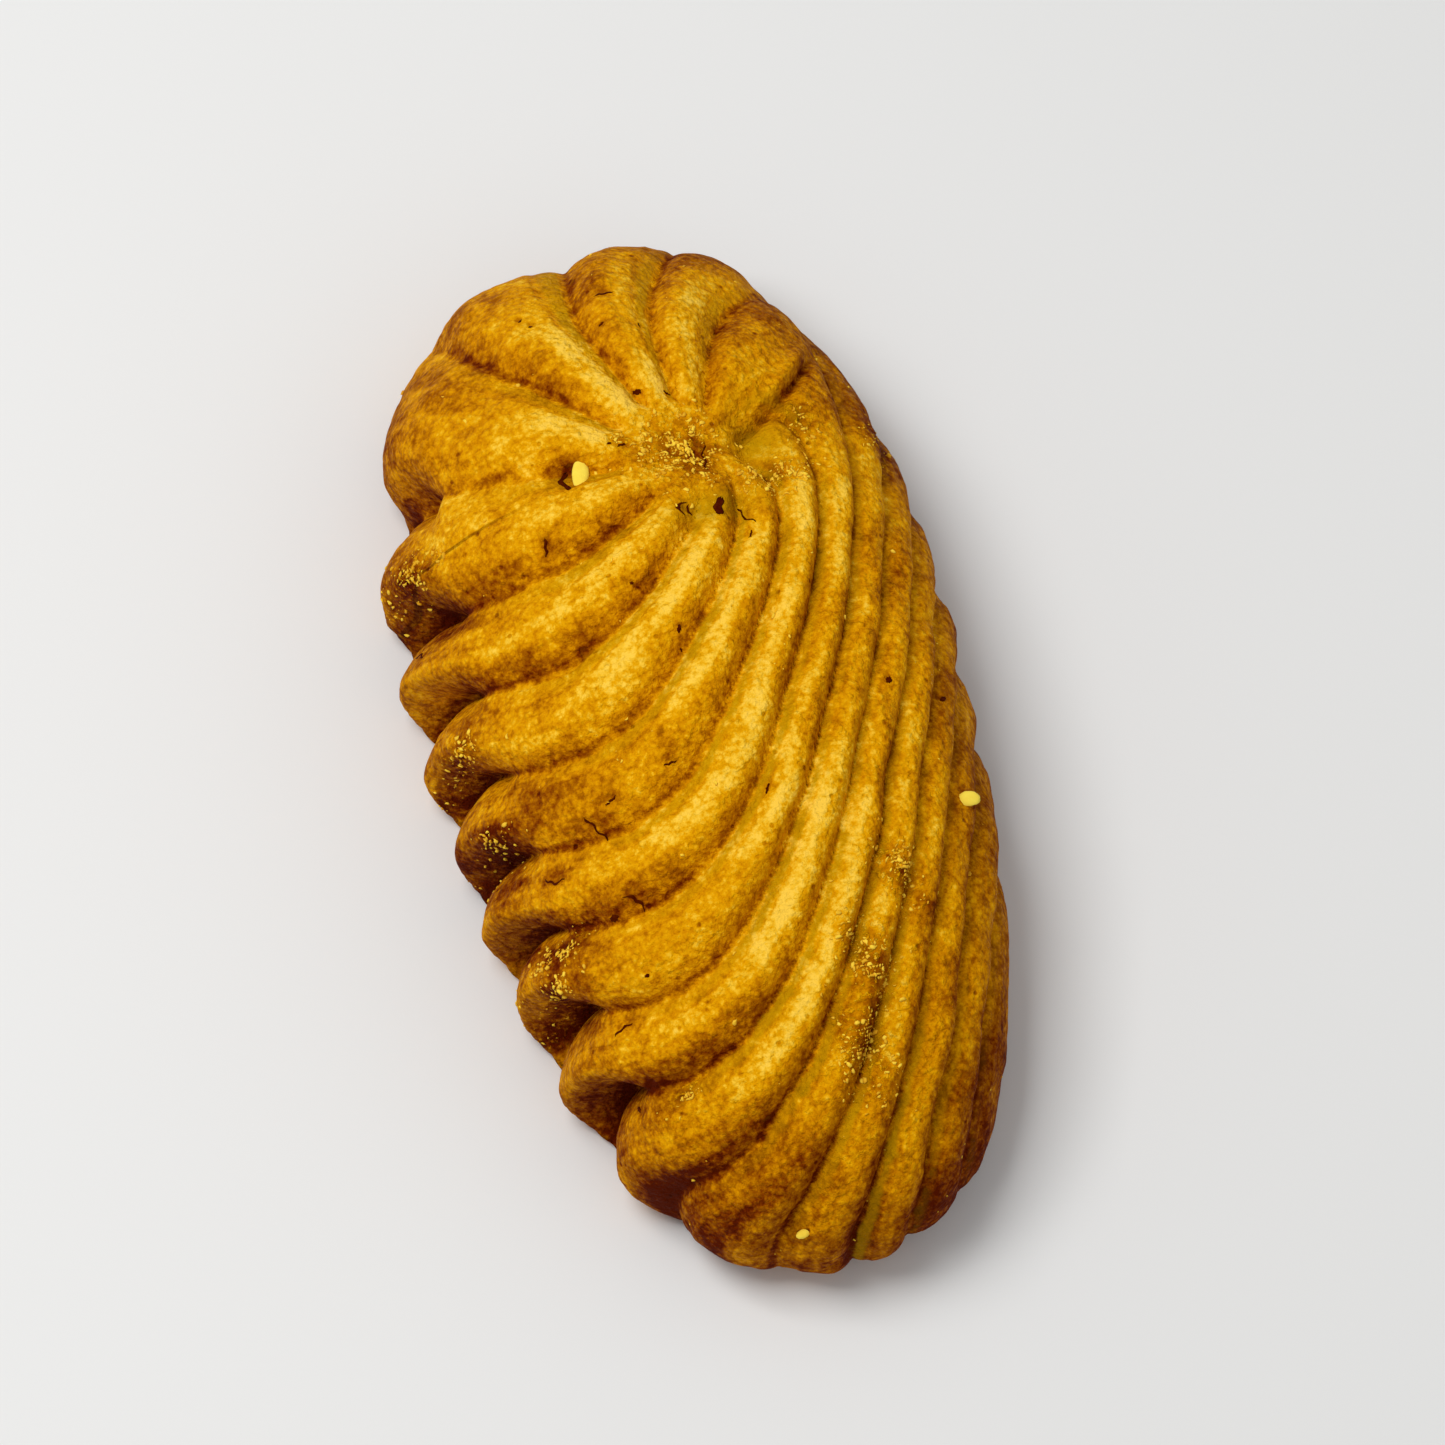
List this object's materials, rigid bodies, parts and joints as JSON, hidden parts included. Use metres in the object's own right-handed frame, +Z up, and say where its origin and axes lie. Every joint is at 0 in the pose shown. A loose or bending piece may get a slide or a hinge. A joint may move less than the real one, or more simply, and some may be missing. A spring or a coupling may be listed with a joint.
{
  "type": "sweet tarallo biscuit",
  "caption": "Oval piped biscuit with ridges that fan from a star near one end and sweep to the side, flat underneath.",
  "frame": {"origin": "middle of the outline's box, on the flat underside", "axes": "+Z up from the underside, +Y from the tail to the star end, +X to the right as seen from above"},
  "size_m": [0.0402, 0.0774, 0.0225],
  "materials": {
    "baked_crust": "matt golden-brown baked crust"
  },
  "bodies": {
    "root": {"biscuit": "baked_crust"}
  },
  "joints": []
}
